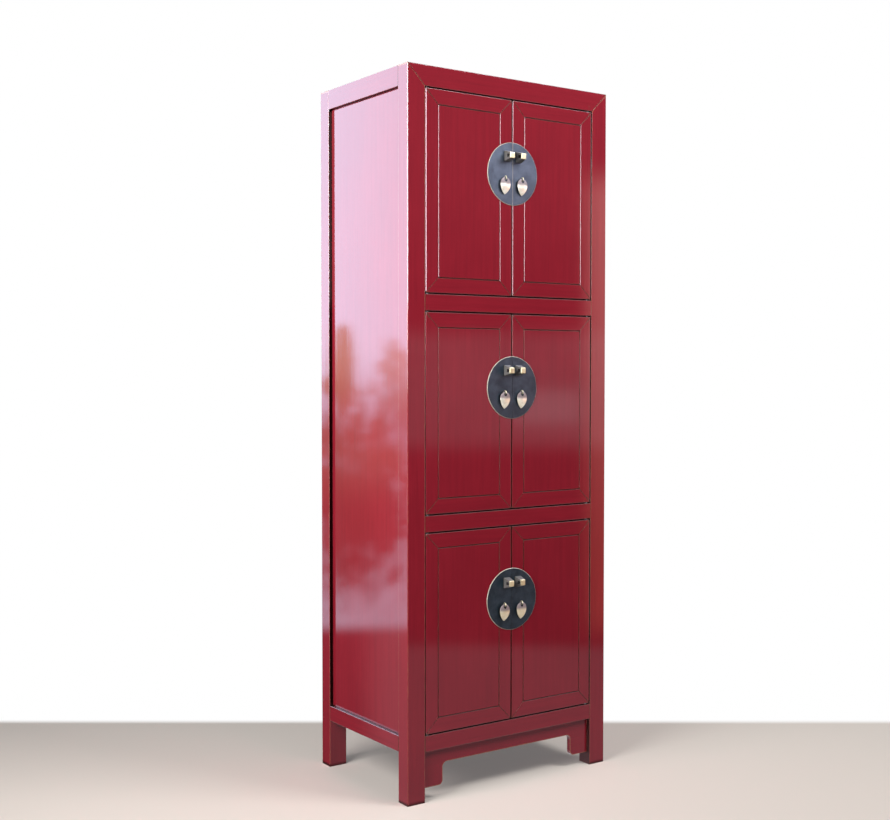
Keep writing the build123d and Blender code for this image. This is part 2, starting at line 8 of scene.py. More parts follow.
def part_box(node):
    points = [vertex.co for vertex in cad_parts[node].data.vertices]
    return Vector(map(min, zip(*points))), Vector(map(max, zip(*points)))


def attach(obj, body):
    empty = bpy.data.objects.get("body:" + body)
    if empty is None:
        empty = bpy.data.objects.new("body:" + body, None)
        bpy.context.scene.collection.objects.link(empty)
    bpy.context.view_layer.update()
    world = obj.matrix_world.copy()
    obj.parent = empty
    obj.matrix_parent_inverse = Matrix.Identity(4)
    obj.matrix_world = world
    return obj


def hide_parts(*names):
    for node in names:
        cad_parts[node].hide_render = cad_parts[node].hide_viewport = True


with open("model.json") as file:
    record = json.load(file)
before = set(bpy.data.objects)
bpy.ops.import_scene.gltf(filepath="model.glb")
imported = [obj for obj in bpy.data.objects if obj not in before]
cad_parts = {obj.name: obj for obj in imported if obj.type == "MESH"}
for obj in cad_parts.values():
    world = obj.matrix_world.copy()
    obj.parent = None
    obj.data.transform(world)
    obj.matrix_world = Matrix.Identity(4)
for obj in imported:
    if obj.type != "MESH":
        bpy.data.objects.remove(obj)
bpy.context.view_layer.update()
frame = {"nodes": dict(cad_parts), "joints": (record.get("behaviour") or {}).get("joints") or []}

# A red lacquered cabinet with three pairs of doors. The wood is the frame's own; this script
# finishes it, makes the brass fittings anew, and sets up the camera, the floor and the light.
# Everything is in metres, with +Z up and the doors towards -Y.

TIERS = ("lower", "middle", "upper")
SIDES = {"left": -1, "right": 1}
TAU = 2 * math.pi

# ------------------------------------------------------------ camera
PICTURE_WIDTH = 890
SENSOR_WIDTH = 36.0
FOCAL_PIXELS = 1268.485
CAMERA_PLACE = Vector((-1.87785, -2.60599, 1.00281))
CAMERA_YAW = 34.8178            # degrees from +Y towards +X
CAMERA_PITCH = -1.7796
CAMERA_ROLL = 0.0189

# ------------------------------------------------------------ brass fittings
LEAF_HALF_WIDTH = 0.0145
LEAF_LENGTH = 0.041
LEAF_TOP = 0.001                # above the middle of the ring
LEAF_HOLE_RADIUS = 0.003
LEAF_HOLE_DROP = 0.005          # below the middle of the ring
LEAF_DOME_RADIUS = 0.055
LEAF_THICKNESS = 0.0014
LEAF_REST_GAP = 0.0004          # between the tip and the plate
RING_STANDOFF = 0.0054
RING_RADIUS = 0.0039
RING_WIRE = 0.0011
EYE_WIDTH = 0.0134              # at the nose
EYE_BASE_WIDTH = 0.0180
EYE_PROJECTION = 0.022
EYE_BASE_HEIGHT = 0.0265
EYE_NOSE_HEIGHT = 0.013
EYE_HOLE_RADIUS = 0.0025
EYE_HOLE_SETBACK = 0.006
EYE_EDGE_ROUND = 0.0007
PLATE_BEVEL = 0.0011
CLENCH_LENGTH = 0.011
CLENCH_WIDTH = 0.004
CLENCH_THICKNESS = 0.0012
EYE_SPREAD = 0.017              # from the seam
EYE_RISE = 0.041                # above the middle of the plate

# Ages of brass, and its painted shade, which its material reads: 0 is bright, 1 is brown and 2 is the
# black painted shade in a hole.
RING_AGE = 0.4
CLENCH_AGE = 0.8
HOLE_SHADE_AGE = 2.0


# ------------------------------------------------------------ arithmetic in node trees
class Term:
    """A number that varies over a shape, in a node tree, written as plain arithmetic."""

    def __init__(self, tree, socket):
        self.tree = tree
        self.socket = socket

    def __add__(self, other):
        return calc(self.tree, "ADD", self, other)

    def __radd__(self, other):
        return calc(self.tree, "ADD", other, self)

    def __sub__(self, other):
        return calc(self.tree, "SUBTRACT", self, other)

    def __rsub__(self, other):
        return calc(self.tree, "SUBTRACT", other, self)

    def __mul__(self, other):
        return calc(self.tree, "MULTIPLY", self, other)

    def __truediv__(self, other):
        return calc(self.tree, "DIVIDE", self, other)

    def __gt__(self, other):
        return calc(self.tree, "GREATER_THAN", self, other)

    def cos(self):
        return calc(self.tree, "COSINE", self)

    def sin(self):
        return calc(self.tree, "SINE", self)

    def root(self):
        return calc(self.tree, "SQRT", calc(self.tree, "MAXIMUM", self, 0.0))

    def size(self):
        return calc(self.tree, "ABSOLUTE", self)

    def at_least(self, other):
        return calc(self.tree, "MAXIMUM", self, other)

    def at_most(self, other):
        return calc(self.tree, "MINIMUM", self, other)

    def between(self, low, high, smooth=False):
        """0 below one limit, 1 above the other."""
        made = node(self.tree, "ShaderNodeMapRange", {0: self, 1: low, 2: high},
                    interpolation_type="SMOOTHSTEP" if smooth else "LINEAR")
        return Term(self.tree, made.outputs[0])


def fill(tree, socket, value):
    """Links a term, or a socket, to an input, or sets its plain value."""
    if isinstance(value, Term):
        tree.links.new(value.socket, socket)
    elif isinstance(value, bpy.types.NodeSocket):
        tree.links.new(value, socket)
    else:
        socket.default_value = value


def calc(tree, operation, *values):
    made = node(tree, "ShaderNodeMath", enumerate(values), operation=operation)
    return Term(tree, made.outputs[0])


def choose(test, yes, no):
    """One value where the test is 1, the other where it is 0."""
    return no + test * (yes - no)


def split(tree, vector):
    made = node(tree, "ShaderNodeSeparateXYZ", {0: vector})
    return [Term(tree, socket) for socket in made.outputs]


def joined(tree, x, y, z):
    return node(tree, "ShaderNodeCombineXYZ", {0: x, 1: y, 2: z}).outputs[0]


def node(tree, kind, inputs=(), **settings):
    """A new node with its settings, and inputs given as {name or number: value}."""
    made = tree.nodes.new(kind)
    for name, value in settings.items():
        setattr(made, name, value)
    for key, value in dict(inputs).items():
        fill(tree, made.inputs[key], value)
    return made


def noise(tree, place, scale, detail=3.0, roughness=0.5, distortion=0.0):
    """A noise value of about 0 to 1 at a place."""
    made = node(tree, "ShaderNodeTexNoise",
                {"Vector": place, "Scale": scale, "Detail": detail, "Roughness": roughness,
                 "Distortion": distortion})
    return Term(tree, made.outputs[0])


def stretched(tree, place, scale):
    return node(tree, "ShaderNodeMapping", {"Vector": place, "Scale": scale}).outputs[0]


def own_place(tree):
    """The place on the object itself, which is the same in every pose."""
    return node(tree, "ShaderNodeTexCoord").outputs["Object"]


def true_facing(tree):
    """The way a face looks, as three terms, without what relief does to it."""
    return split(tree, node(tree, "ShaderNodeNewGeometry").outputs["True Normal"])


def blend(tree, share, one, other):
    """Two colours mixed: one where the share is 0, the other where it is 1."""
    made = node(tree, "ShaderNodeMix", data_type="RGBA")
    for number, value in ((0, share), (6, one), (7, other)):
        fill(tree, made.inputs[number], value)
    return made.outputs[2]


def linear(red, green, blue):
    """A colour written as screen values from 0 to 255."""
    def value(screen):
        share = screen / 255
        return share / 12.92 if share <= 0.04045 else ((share + 0.055) / 1.055) ** 2.4
    return value(red), value(green), value(blue), 1.0


# ------------------------------------------------------------ shader groups
def group(name, inputs, outputs):
    """An empty shader group with its sockets, given as {name: (kind, value)} and {name: kind}."""
    tree = bpy.data.node_groups.new(name, "ShaderNodeTree")
    for label, (kind, value) in inputs.items():
        socket = tree.interface.new_socket(name=label, in_out="INPUT", socket_type=kind)
        socket.default_value = value
    for label, kind in outputs.items():
        tree.interface.new_socket(name=label, in_out="OUTPUT", socket_type=kind)
    return tree, tree.nodes.new("NodeGroupInput"), tree.nodes.new("NodeGroupOutput")


SHADE_SAMPLES = 6
WEAR_BLUR = 0.18                # past the start of wear, in shares of a bare edge
DIRT_AND_SHADE_RANGE = (0.12, 0.5)        # shares of shade over which dirt and painted shade set in
SPECK_RANGE = (0.62, 0.78)      # noise values that make a speck
BROAD_FINENESS = 0.30           # of the broad streaks, in shares of that of the fine ones


def wear_and_shade_group():
    """Where handling rubs the finish off proud edges, and how shut in the grooves are, for the dirt
    and painted shade there.
    """
    tree, given, made = group(
        "edge_wear_and_shade",
        {"Reach": ("NodeSocketFloat", 0.0035), "Patches": ("NodeSocketFloat", 60.0),
         "Unevenness": ("NodeSocketFloat", 0.4), "Start": ("NodeSocketFloat", 0.22),
         "Groove Reach": ("NodeSocketFloat", 0.005)},
        {"Wear": "NodeSocketFloat", "Dirt And Shade": "NodeSocketFloat"})
    proud = node(tree, "ShaderNodeAmbientOcclusion", {"Distance": given.outputs["Reach"]},
                 samples=SHADE_SAMPLES, inside=True, only_local=True)
    bare = 1.0 - Term(tree, proud.outputs["AO"])
    patches = noise(tree, own_place(tree), given.outputs["Patches"], 5.0, 0.65)
    shifted = bare + (patches - 0.5) * Term(tree, given.outputs["Unevenness"])
    start = Term(tree, given.outputs["Start"])
    fill(tree, made.inputs["Wear"], shifted.between(start, start + WEAR_BLUR, smooth=True))
    # dirt and painted shade: darker where near surfaces shut a place in
    shut = node(tree, "ShaderNodeAmbientOcclusion", {"Distance": given.outputs["Groove Reach"]},
                samples=SHADE_SAMPLES)
    shade = 1.0 - Term(tree, shut.outputs["AO"])
    fill(tree, made.inputs["Dirt And Shade"], shade.between(*DIRT_AND_SHADE_RANGE, smooth=True))
    return tree


def streaks_group():
    """Long fine streaks of a brush or of wood grain, along the axis with the smallest scale."""
    tree, given, made = group(
        "streaks",
        {"Across": ("NodeSocketVector", (1.0, 1.0, 0.05)), "Fineness": ("NodeSocketFloat", 400.0)},
        {"Fine": "NodeSocketFloat", "Broad": "NodeSocketFloat"})
    thin = stretched(tree, own_place(tree), given.outputs["Across"])
    fineness = Term(tree, given.outputs["Fineness"])
    fill(tree, made.inputs["Fine"], noise(tree, thin, fineness.socket, 4.0, 0.6))
    broad = fineness * BROAD_FINENESS
    fill(tree, made.inputs["Broad"], noise(tree, thin, broad.socket, 3.0, 0.55, 0.4))
    return tree


def mottle_group():
    """Soft clouds and small specks, for tarnish, dust and uneven gloss."""
    tree, given, made = group(
        "mottle",
        {"Scale": ("NodeSocketFloat", 8.0), "Speck Scale": ("NodeSocketFloat", 300.0)},
        {"Clouds": "NodeSocketFloat", "Specks": "NodeSocketFloat"})
    place = own_place(tree)
    fill(tree, made.inputs["Clouds"], noise(tree, place, given.outputs["Scale"], 4.0, 0.55, 0.3))
    specks = noise(tree, place, given.outputs["Speck Scale"], 2.0, 0.5)
    fill(tree, made.inputs["Specks"], specks.between(*SPECK_RANGE, smooth=True))
    return tree


EDGE_WEAR_AND_SHADE = wear_and_shade_group()
STREAKS = streaks_group()
MOTTLE = mottle_group()


# ------------------------------------------------------------ materials
def placed_group(tree, kind, values):
    """A group in a material, with its outputs as terms."""
    made = tree.nodes.new("ShaderNodeGroup")
    made.node_tree = kind
    for name, value in values.items():
        fill(tree, made.inputs[name], value)
    return {socket.name: Term(tree, socket) for socket in made.outputs}


def surface(name):
    """A new material with its tree and its main shader."""
    material = bpy.data.materials.new(name)
    material.use_nodes = True
    tree = material.node_tree
    return material, tree, tree.nodes["Principled BSDF"]


def relief(tree, shader, height, strength, distance):
    bump = node(tree, "ShaderNodeBump", {"Height": height, "Strength": strength, "Distance": distance})
    tree.links.new(bump.outputs[0], shader.inputs["Normal"])


CRIMSON = (0.290, 0.0140, 0.0270, 1.0)
CRIMSON_DEEP = (0.250, 0.0112, 0.0225, 1.0)
CRIMSON_STREAK = (0.200, 0.0100, 0.0200, 1.0)
RUBBED_BROWN = (0.120, 0.048, 0.025, 1.0)
RUBBED_OCHRE = (0.420, 0.200, 0.100, 1.0)
# dark of dirt and of painted shade in grooves, recesses and on inner faces
DIRT_AND_SHADE_DARK = (0.022, 0.010, 0.008, 1.0)
STAIN_DARK = (0.050, 0.020, 0.012, 1.0)
STAIN_LIGHT = (0.125, 0.050, 0.026, 1.0)
STAIN_FADED = (0.160, 0.072, 0.040, 1.0)
STAIN_WORN = (0.260, 0.150, 0.085, 1.0)
# patina of the plates, painted darker on the low tiers and lighter on the high ones, each as two
# random tones
LOW_PATINA_SHADED = ((0.014, 0.024, 0.030, 1.0), (0.027, 0.042, 0.052, 1.0))
HIGH_PATINA_LIT = ((0.043, 0.051, 0.064, 1.0), (0.066, 0.077, 0.095, 1.0))
PATINA_SPECK = (0.14, 0.12, 0.09, 1.0)
BARE_RIM = (0.42, 0.37, 0.29, 1.0)
GOLDEN_BRASS = (0.50, 0.37, 0.17, 1.0)
BRASS_SPECK = (0.16, 0.10, 0.06, 1.0)
# black of grease and of painted shade in crevices and holes
GREASE_AND_SHADE_BLACK = (0.010, 0.008, 0.007, 1.0)
OILED_DARK = (0.030, 0.027, 0.025, 1.0)
OILED_LIGHT = (0.062, 0.057, 0.052, 1.0)

# The recess before a side panel, by height and by depth from the middle of the side.
RECESS_HALF_DEPTH = 0.160
RECESS_BOTTOM = 0.125
RECESS_TOP = 1.662
SHADE_BLUR = 0.005
FOOT_BLACK_HEIGHT = (0.001, 0.010)     # over which the black of the feet fades
SEAM_HIGHLIGHT_REACH = (0.0004, 0.0013)       # from the seam, over which its painted highlight fades
SEAM_HIGHLIGHT_HEIGHT = (1.15, 1.20)  # above which the seam has a painted highlight
PATINA_LIGHT_HEIGHT = (0.5, 1.5)          # over which the plates get lighter: painted light, darker on the low tiers
BRASS_SHADE_HEIGHT = (0.5, 1.2)           # over which the brass gets paler: painted shade, darker on the low tiers
RECESS_MARGIN = 0.0005              # how far behind the face of its panel the recess starts
INNER_MARGIN = 0.001                # how far past a post's inner face a face still counts as inner
BEVEL_BLUR = 0.15                   # of the start of a plate's rim, in shares of its bevel

# Ranges of noise over which one colour gives way to the other.
CLOUD_RANGE = (0.3, 0.7)
FADED_RANGE = (0.4, 0.8)
GOLDEN_RANGE = (0.35, 0.7)
BRUSH_RANGE = (0.38, 0.66)
GRAIN_RANGE = (0.32, 0.68)

# Where grooves get painted shade: shares of a face's direction that are upward, or sideways.
UPWARD_FLANK = (0.08, 0.25)
LEVEL_FACE = (0.96, 0.99)
SIDE_FACE = (0.10, 0.30)

# Ages of brass over which it turns brown, and then black as painted shade in the holes.
BROWN_AGES = (0.15, 0.85)
HOLE_SHADE_AGES = (1.3, 1.8)


def shaded_faces(tree, facing):
    """Where the posts and side rails are painted black: the walls of the recess as painted shade, and
    the feet over their lowest centimetre, and apart from those the faces that the posts turn inwards,
    as painted shade."""
    x, y, z = split(tree, own_place(tree))
    sideways = facing[0].size() > 0.5
    deep = (y - CASE_MIDDLE_Y).size().between(RECESS_HALF_DEPTH, RECESS_HALF_DEPTH + SHADE_BLUR)
    # painted shade on the walls of the recess
    recess = ((x.size() > CASE_HALF_WIDTH - RECESS - RECESS_MARGIN)
              * (1.0 - sideways) * (1.0 - deep)
              * z.between(RECESS_BOTTOM, RECESS_BOTTOM + SHADE_BLUR)
              * (1.0 - z.between(RECESS_TOP, RECESS_TOP + SHADE_BLUR)))
    # painted shade on the faces that the posts turn inwards
    inner = (1.0 - (x.size() > CASE_HALF_WIDTH - POST_WIDTH + INNER_MARGIN)) * sideways
    # black at the foot of the posts, fading up over their lowest centimetre
    foot_black = (1.0 - z.between(*FOOT_BLACK_HEIGHT, smooth=True)) * 0.7
    return recess.at_least(foot_black), inner


def groove_flank_shade(facing):
    """Painted shade on the upward flanks of grooves, and not on level or sideways faces."""
    return (facing[2].between(*UPWARD_FLANK) * (1.0 - facing[2].between(*LEVEL_FACE))
            * (1.0 - facing[0].size().between(*SIDE_FACE)))


def lacquer(name, across, with_painted_shade=False, rubbed_color=RUBBED_BROWN):
    """Crimson lacquer over dark wood, brushed along a member and rubbed through at its edges.
    Its dirt and painted shade, in grooves, on their upward flanks, in recesses and on inner faces, are
    near to metal, so that they mirror nothing."""
    material, tree, shader = surface(name)
    wear = placed_group(tree, EDGE_WEAR_AND_SHADE, {})
    grain = placed_group(tree, STREAKS, {"Across": across, "Fineness": 420.0})
    clouds = placed_group(tree, MOTTLE, {"Scale": 5.0, "Speck Scale": 420.0})
    body = blend(tree, clouds["Clouds"].between(*CLOUD_RANGE), CRIMSON_DEEP, CRIMSON)
    brushed = (grain["Fine"] * 0.4 + grain["Broad"] * 0.6).between(*BRUSH_RANGE)
    streaked = blend(tree, brushed * 0.55, body, CRIMSON_STREAK)
    rubbed = blend(tree, wear["Wear"] * 0.7, streaked, rubbed_color)
    facing = true_facing(tree)
    # painted shade on the upward flanks of grooves
    flank_shade = groove_flank_shade(facing)
    dirt_and_shade = (wear["Dirt And Shade"] * 0.95).at_least(flank_shade * 0.9)
    dull = wear["Dirt And Shade"] * 0.4 + flank_shade * 0.5
    if with_painted_shade:
        # painted shade: black recess walls and inner post faces; also the black foot of the posts
        black, inner = shaded_faces(tree, facing)
        dirt_and_shade = dirt_and_shade.at_least(black).at_least(inner * 0.95)
        dull = dull * (1.0 - black) + inner * 0.5
    gloss = 0.02 + clouds["Clouds"] * 0.018 + grain["Broad"] * 0.018 + clouds["Specks"] * 0.05
    # dirt and painted shade: dark, and near to metal, so that they mirror nothing
    fill(tree, shader.inputs["Base Color"], blend(tree, dirt_and_shade, rubbed, DIRT_AND_SHADE_DARK))
    fill(tree, shader.inputs["Metallic"], dirt_and_shade * 0.95)
    fill(tree, shader.inputs["Roughness"], gloss + wear["Wear"] * 0.12 + dull)
    shader.inputs["IOR"].default_value = 1.5
    relief(tree, shader, grain["Fine"] * 0.35 + grain["Broad"] * 0.65, 0.035, 0.0006)
    return material


def stained_wood(name, across):
    """Bare boards under a dark thin stain, with open grain."""
    material, tree, shader = surface(name)
    wear = placed_group(tree, EDGE_WEAR_AND_SHADE, {"Reach": 0.0015, "Start": 0.3})
    grain = placed_group(tree, STREAKS, {"Across": across, "Fineness": 170.0})
    clouds = placed_group(tree, MOTTLE, {"Scale": 3.0, "Speck Scale": 250.0})
    shade = (grain["Broad"] * 0.6 + grain["Fine"] * 0.4).between(*GRAIN_RANGE)
    wood = blend(tree, shade, STAIN_DARK, STAIN_LIGHT)
    faded = blend(tree, clouds["Clouds"].between(*FADED_RANGE) * 0.4, wood, STAIN_FADED)
    worn = blend(tree, wear["Wear"] * 0.6, faded, STAIN_WORN)
    # dirt and painted shade in the grooves
    fill(tree, shader.inputs["Base Color"], blend(tree, wear["Dirt And Shade"] * 0.6, worn, DIRT_AND_SHADE_DARK))
    fill(tree, shader.inputs["Roughness"], 0.48 + grain["Fine"] * 0.22)
    relief(tree, shader, grain["Fine"] * 0.6 + grain["Broad"] * 0.4, 0.25, 0.0007)
    return material


def blackened_bronze(name):
    """The round plates: a dark patina that is rubbed back to pale brass on the rim, painted lighter
    towards the top, and with a painted highlight on the seam of the upper plates.
    """
    material, tree, shader = surface(name)
    x, _, z = split(tree, own_place(tree))
    drop = calc(tree, "WRAP", z - plate_middle("lower"), -TIER_PITCH / 2, TIER_PITCH / 2)
    from_middle = (x * x + drop * drop).root()
    rim = from_middle.between(PLATE_RADIUS - PLATE_BEVEL * (1 + BEVEL_BLUR),
                              PLATE_RADIUS - PLATE_BEVEL * (1 - BEVEL_BLUR))
    # painted highlight along the seam of the upper plates
    seam = (1.0 - x.size().between(*SEAM_HIGHLIGHT_REACH, smooth=True)) * z.between(*SEAM_HIGHLIGHT_HEIGHT)
    clouds = placed_group(tree, MOTTLE, {"Scale": 45.0, "Speck Scale": 900.0})
    wear = placed_group(tree, EDGE_WEAR_AND_SHADE, {"Reach": 0.0007, "Patches": 160.0, "Start": 0.34})
    scratches = placed_group(tree, STREAKS, {"Across": (1.0, 1.0, 0.09), "Fineness": 900.0})
    cloudy = clouds["Clouds"].between(*CLOUD_RANGE)
    # painted light: the patina lighter towards the top
    patina_with_painted_light = blend(tree, z.between(*PATINA_LIGHT_HEIGHT), blend(tree, cloudy, *LOW_PATINA_SHADED),
                   blend(tree, cloudy, *HIGH_PATINA_LIT))
    specked = blend(tree, clouds["Specks"] * 0.35, patina_with_painted_light, PATINA_SPECK)
    rubbed_rim = rim * (0.65 + clouds["Clouds"] * 0.5)
    # pale: the rubbed rim and worn edges, and the painted highlight on the seam
    bare = rubbed_rim.at_least(wear["Wear"] * 0.12).at_least(seam * 0.4).at_most(1.0)
    fill(tree, shader.inputs["Base Color"], blend(tree, bare, specked, BARE_RIM))
    fill(tree, shader.inputs["Metallic"], 0.85 - rim * 0.85)
    fill(tree, shader.inputs["Roughness"], 0.30 + clouds["Clouds"] * 0.10 + bare * 0.25)
    height = clouds["Clouds"] * 0.5 + scratches["Fine"] * 0.25 + clouds["Specks"] * 0.25
    relief(tree, shader, height, 0.22, 0.0004)
    return material


def aged_and_shaded_brass(name, bright, brown, low_tier_shaded):
    """Brass that hands keep bright, painted darker on the low tiers as shade, and brown where hands
    don't reach and on a leaf's top, as tarnish and painted shade, and black as painted shade in the
    holes, by its stored age and shade."""
    material, tree, shader = surface(name)
    age_and_shade = Term(tree, node(tree, "ShaderNodeAttribute", attribute_name="age_and_shade").outputs["Fac"])
    clouds = placed_group(tree, MOTTLE, {"Scale": 110.0, "Speck Scale": 1300.0})
    wear = placed_group(tree, EDGE_WEAR_AND_SHADE, {"Reach": 0.0008, "Patches": 300.0, "Start": 0.3,
                                          "Groove Reach": 0.006})
    z = split(tree, own_place(tree))[2]
    # painted shade: darker brass on the low tiers
    polished_with_tier_shade = blend(tree, z.between(*BRASS_SHADE_HEIGHT), low_tier_shaded, bright)
    golden = blend(tree, clouds["Clouds"].between(*GOLDEN_RANGE) * 0.45, polished_with_tier_shade, GOLDEN_BRASS)
    browned = (age_and_shade + (clouds["Clouds"] - 0.5) * 0.3).between(*BROWN_AGES, smooth=True)
    # the black painted shade in the holes
    black = age_and_shade.between(*HOLE_SHADE_AGES)
    aged = blend(tree, browned * (1.0 - wear["Wear"] * 0.6), golden, brown)
    specked = blend(tree, clouds["Specks"] * 0.35, aged, BRASS_SPECK)
    # dirt and painted shade in crevices, and the painted shade of the holes
    shut = (wear["Dirt And Shade"] * 0.8).at_least(black)
    fill(tree, shader.inputs["Base Color"], blend(tree, shut, specked, GREASE_AND_SHADE_BLACK))
    fill(tree, shader.inputs["Metallic"], 0.72 - browned * 0.64)
    shader.inputs["IOR"].default_value = 1.28
    fill(tree, shader.inputs["Roughness"],
         0.30 + clouds["Clouds"] * 0.12 + browned * 0.08 + black * 0.4)
    relief(tree, shader, clouds["Clouds"] * 0.6 + clouds["Specks"] * 0.4, 0.18, 0.0003)
    return material


def pin_steel(name):
    """Plain turned pins, dark with old oil."""
    material, tree, shader = surface(name)
    clouds = placed_group(tree, MOTTLE, {"Scale": 120.0, "Speck Scale": 900.0})
    turned = placed_group(tree, STREAKS, {"Across": (0.1, 0.1, 1.0), "Fineness": 1500.0})
    shade = clouds["Clouds"].between(*CLOUD_RANGE)
    fill(tree, shader.inputs["Base Color"], blend(tree, shade, OILED_DARK, OILED_LIGHT))
    shader.inputs["Metallic"].default_value = 1.0
    fill(tree, shader.inputs["Roughness"], 0.45 + turned["Fine"] * 0.2)
    relief(tree, shader, turned["Fine"], 0.15, 0.0002)
    return material


# ------------------------------------------------------------ places taken from the frame
def middle_of(node_name):
    low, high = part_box(node_name)
    return (Vector(low) + Vector(high)) / 2


def plate_middle(tier):
    return middle_of(f"{tier}_left_face_plate").z


def plate_front(tier):
    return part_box(f"{tier}_left_face_plate")[0][1]


def joint_place(name):
    joint = next(joint for joint in frame["joints"] if joint["name"] == name)
    return Vector(joint["pos_m"])


TIER_PITCH = plate_middle("middle") - plate_middle("lower")
PLATE_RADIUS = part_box("lower_left_face_plate")[1][2] - plate_middle("lower")
CASE_HALF_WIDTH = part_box("post_front_right")[1][0]
POST_WIDTH = CASE_HALF_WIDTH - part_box("post_front_right")[0][0]
RECESS = CASE_HALF_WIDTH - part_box("side_panel_right")[1][0]
CASE_MIDDLE_Y = middle_of("side_panel_right").y

UPRIGHT = (1.0, 1.0, 0.035)
CROSSWISE = (0.035, 1.0, 1.0)
LENGTHWISE = (1.0, 0.035, 1.0)
lacquer_upright = lacquer("crimson_lacquer_upright", UPRIGHT)
lacquer_crosswise = lacquer("crimson_lacquer_crosswise", CROSSWISE)
lacquer_posts = lacquer("crimson_lacquer_posts", UPRIGHT, with_painted_shade=True, rubbed_color=RUBBED_OCHRE)
lacquer_apron = lacquer("crimson_lacquer_apron", CROSSWISE, rubbed_color=RUBBED_OCHRE)
lacquer_lengthwise = lacquer("crimson_lacquer_lengthwise", LENGTHWISE, with_painted_shade=True)
stained_boards = stained_wood("dark_stain_boards", CROSSWISE)
stained_bearers = stained_wood("dark_stain_bearers", LENGTHWISE)
stained_back = stained_wood("dark_stain_back", UPRIGHT)
bronze = blackened_bronze("blackened_bronze")
leaf_brass = aged_and_shaded_brass("leaf_brass", bright=(0.88, 0.85, 0.72, 1.0), brown=(0.215, 0.170, 0.165, 1.0),
                        low_tier_shaded=(0.62, 0.54, 0.37, 1.0))
eye_brass = aged_and_shaded_brass("eye_brass", bright=(0.46, 0.43, 0.27, 1.0), brown=(0.115, 0.107, 0.098, 1.0),
                       low_tier_shaded=(0.46, 0.41, 0.25, 1.0))
steel = pin_steel("pin_steel")


def finish_node(name, material):
    mesh = frame["nodes"][name].data
    mesh.materials.clear()
    mesh.materials.append(material)


def finish_wood():
    for name in ("top_rail_front", "mid_rails_front", "bottom_rail_front", "back_rails", "top_panel"):
        finish_node(name, lacquer_crosswise)
    finish_node("apron", lacquer_apron)
    finish_node("side_rails", lacquer_lengthwise)
    finish_node("back_panels", stained_back)
    finish_node("shelf_boards", stained_boards)
    finish_node("shelf_bearers", stained_bearers)
    finish_node("pivot_pins", steel)
    for side in SIDES:
        for name in (f"post_front_{side}", f"post_back_{side}"):
            finish_node(name, lacquer_posts)
        finish_node(f"side_panel_{side}", lacquer_upright)
        for tier in TIERS:
            finish_node(f"{tier}_{side}_rails", lacquer_crosswise)
            finish_node(f"{tier}_{side}_face_plate", bronze)
            for piece in ("hinge_stile", "lock_stile", "panel"):
                finish_node(f"{tier}_{side}_{piece}", lacquer_upright)


# ------------------------------------------------------------ shapes made by rules
MERGE_DISTANCE = 2e-6

# Cells of the sheets that leaves and lock eyes are bent from: round the hole, and along the section.
LEAF_CELLS = (80, 44)
EYE_CELLS = (96, 40)

# Shares of a leaf's section: out over the front, round the rim, in over the back, round the hole.
LEAF_FRONT = (0.0, 0.40)
LEAF_RIM = (0.40, 0.50)
LEAF_BACK = (0.50, 0.92)
LEAF_HOLE = (0.92, 1.0)
LEAF_TARNISH_AND_SHADE_HEIGHT = (-0.0225, -0.0065)  # from the ring, over which the brown of the top sets in: tarnish and painted shade
LEAF_HOLE_SHADE_REACH = (0.0040, 0.0047)     # from the middle of the hole, over which its black painted shade fades
LEAF_BEATING = 0.00016                  # height of its hammered waves

# Shares of a lock eye's section: out over one face and edge, across, back over the other, the hole.
EYE_FACE_OUT = (0.0, 0.25)
EYE_EDGE_OUT = (0.25, 0.35)
EYE_ACROSS = (0.35, 0.65)
EYE_EDGE_BACK = (0.65, 0.75)
EYE_FACE_BACK = (0.75, 0.90)
EYE_HOLE = (0.90, 1.0)
EYE_HOLE_SHADE_REACH = (0.20, 0.30)          # of the way from hole to rim, over which the black painted shade of the hole fades
EYE_HOLE_SHADE_OUT = (0.11, 0.13)            # from here to the next no black shows at all
EYE_HOLE_SHADE_BACK = (0.86, 0.88)
EYE_CORNER_ROUND = 0.0012
EYE_BRIGHT_NOSE = (-0.0030, -0.0008)    # from the nose's end, over which it gets bright

CLENCH_SINK = 0.0005                    # of the halves' start in the shank
CLENCH_PARTING = 0.0002                 # between the start of a half and the shank's middle
CLENCH_BEND = 0.0004
CLENCH_SWEEP = 0.004
CLENCH_BULGE = 0.55                     # of the halves off the door, in shares of their thickness
CLENCH_SLIMNESS = 0.9                   # of the halves, in shares of the shank's width


def shape_tree(name, sizes):
    """A geometry tree with named inputs for its sizes and its material."""
    tree = bpy.data.node_groups.new(name, "GeometryNodeTree")
    tree.interface.new_socket(name="Geometry", in_out="OUTPUT", socket_type="NodeSocketGeometry")
    for label, value in sizes.items():
        kind = "NodeSocketVector" if isinstance(value, (tuple, Vector)) else "NodeSocketFloat"
        socket = tree.interface.new_socket(name=label, in_out="INPUT", socket_type=kind)
        socket.default_value = value
    tree.interface.new_socket(name="Material", in_out="INPUT", socket_type="NodeSocketMaterial")
    given = tree.nodes.new("NodeGroupInput")
    terms = {label: Term(tree, given.outputs[label]) for label in sizes}
    return tree, given, terms


def sheet_of_cells(tree, around, along):
    """A unit grid, with its two coordinates from 0 to 1."""
    grid = node(tree, "GeometryNodeMeshGrid",
                {"Size X": 1.0, "Size Y": 1.0, "Vertices X": around + 1, "Vertices Y": along + 1})
    x, y, _ = split(tree, node(tree, "GeometryNodeInputPosition").outputs[0])
    return grid.outputs["Mesh"], x + 0.5, y + 0.5


def with_age_and_shade(tree, shape, age_and_shade):
    """The shape with its age and painted shade stored on its points."""
    return node(tree, "GeometryNodeStoreNamedAttribute",
                {"Geometry": shape, "Name": "age_and_shade", "Value": age_and_shade},
                data_type="FLOAT", domain="POINT").outputs[0]


